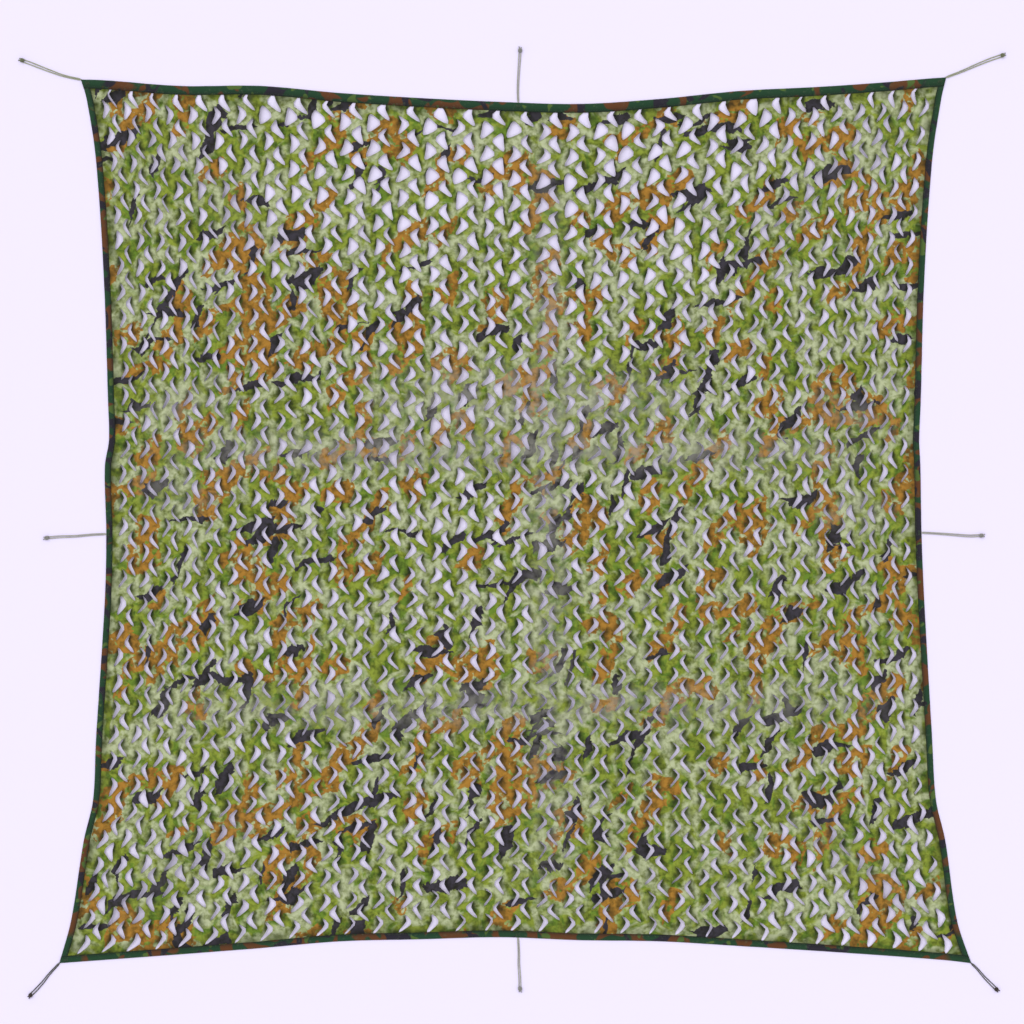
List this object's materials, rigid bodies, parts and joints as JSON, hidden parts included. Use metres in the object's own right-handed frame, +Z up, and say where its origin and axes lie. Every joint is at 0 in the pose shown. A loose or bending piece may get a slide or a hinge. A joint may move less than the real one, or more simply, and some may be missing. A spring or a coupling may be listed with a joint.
{
  "type": "camouflage net",
  "caption": "Square camouflage net of slit printed cloth, edge bound in folded tape, with doubled cord ties at its corners and the middle of its sides, lying flat.",
  "frame": {"origin": "centre of the bounding box of the net and its binding, on the surface it lies on", "axes": "+X to the right as the net is seen face on, +Y to its top edge, +Z up out of its face"},
  "size_m": [3.3391, 3.2182, 0.0201],
  "materials": {
    "printed_cloth": "matte woven polyester printed in yellow green, pale green, orange brown and charcoal blotches",
    "binding_tape": "matte woven tape printed in dark green, dark brown and black, folded over the edge and sewn",
    "tie_cord": "twisted khaki cord, matte, a little fuzzy"
  },
  "bodies": {
    "root": {"net_panel": "printed_cloth", "tape_top": "binding_tape", "tape_bottom": "binding_tape", "tape_left": "binding_tape", "tape_right": "binding_tape", "tie_top_left_a": "tie_cord", "tie_top_left_b": "tie_cord", "knot_top_left": "tie_cord", "tie_top_a": "tie_cord", "tie_top_b": "tie_cord", "knot_top": "tie_cord", "tie_top_right_a": "tie_cord", "tie_top_right_b": "tie_cord", "knot_top_right": "tie_cord", "tie_right_a": "tie_cord", "tie_right_b": "tie_cord", "knot_right": "tie_cord", "tie_bottom_right_a": "tie_cord", "tie_bottom_right_b": "tie_cord", "knot_bottom_right": "tie_cord", "tie_bottom_a": "tie_cord", "tie_bottom_b": "tie_cord", "knot_bottom": "tie_cord", "tie_bottom_left_a": "tie_cord", "tie_bottom_left_b": "tie_cord", "knot_bottom_left": "tie_cord", "tie_left_a": "tie_cord", "tie_left_b": "tie_cord", "knot_left": "tie_cord"}
  },
  "joints": []
}
